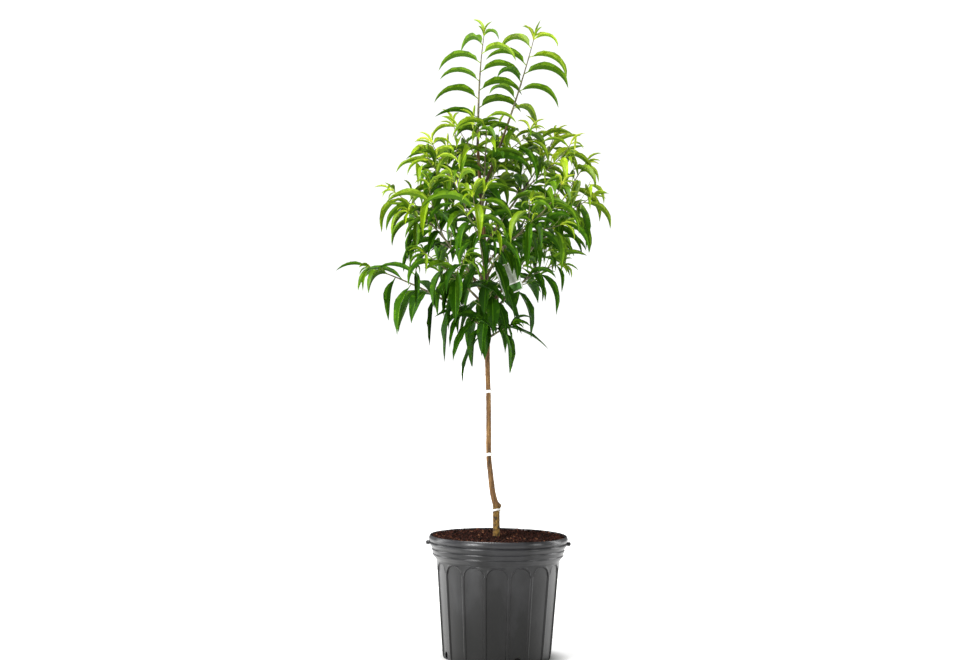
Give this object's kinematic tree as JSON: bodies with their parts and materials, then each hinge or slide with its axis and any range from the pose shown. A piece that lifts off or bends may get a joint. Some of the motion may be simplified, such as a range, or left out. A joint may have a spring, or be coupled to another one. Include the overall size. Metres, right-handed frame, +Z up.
{
  "type": "dwarf peach tree in a nursery pot",
  "caption": "Young dwarf peach tree, a slim grafted trunk with a leafy crown of long drooping leaves, standing in a fluted black nursery pot filled with soil.",
  "frame": {"origin": "centre of the pot's flat underside", "axes": "+Z up along the trunk, -Y towards the viewer, +X to the viewer's right"},
  "size_m": [0.5493, 0.4363, 1.2823],
  "materials": {
    "pot_plastic": "satin moulded black plastic",
    "soil": "loose damp bark mix",
    "bark": "brown bark with grey flecks",
    "leaf": "satin green leaf",
    "tie": "white stretch tape",
    "label": "plain printed-side-blank label card"
  },
  "bodies": {
    "root": {"bough_back_left": "bark", "bough_back_right": "bark", "bough_front_left": "bark", "bough_front_right": "bark", "bough_left_high": "bark", "bough_left_mid": "bark", "bough_low_back": "bark", "bough_low_front": "bark", "bough_low_left": "bark", "bough_low_right": "bark", "bough_right_high": "bark", "bough_right_mid": "bark", "bough_top_right": "bark", "label": "label", "leaves_back_left": "leaf", "leaves_back_right": "leaf", "leaves_crown_back": "leaf", "leaves_crown_front": "leaf", "leaves_front_left": "leaf", "leaves_front_right": "leaf", "leaves_left_high": "leaf", "leaves_left_mid": "leaf", "leaves_low_back": "leaf", "leaves_low_front": "leaf", "leaves_low_left": "leaf", "leaves_low_right": "leaf", "leaves_right_high": "leaf", "leaves_right_mid": "leaf", "leaves_spur_back": "leaf", "leaves_spur_left": "leaf", "leaves_spur_right": "leaf", "leaves_top_left": "leaf", "leaves_top_right": "leaf", "pot": "pot_plastic", "soil": "soil", "tie_1": "tie", "tie_2": "tie", "tie_3": "tie", "trunk": "bark"}
  },
  "joints": []
}
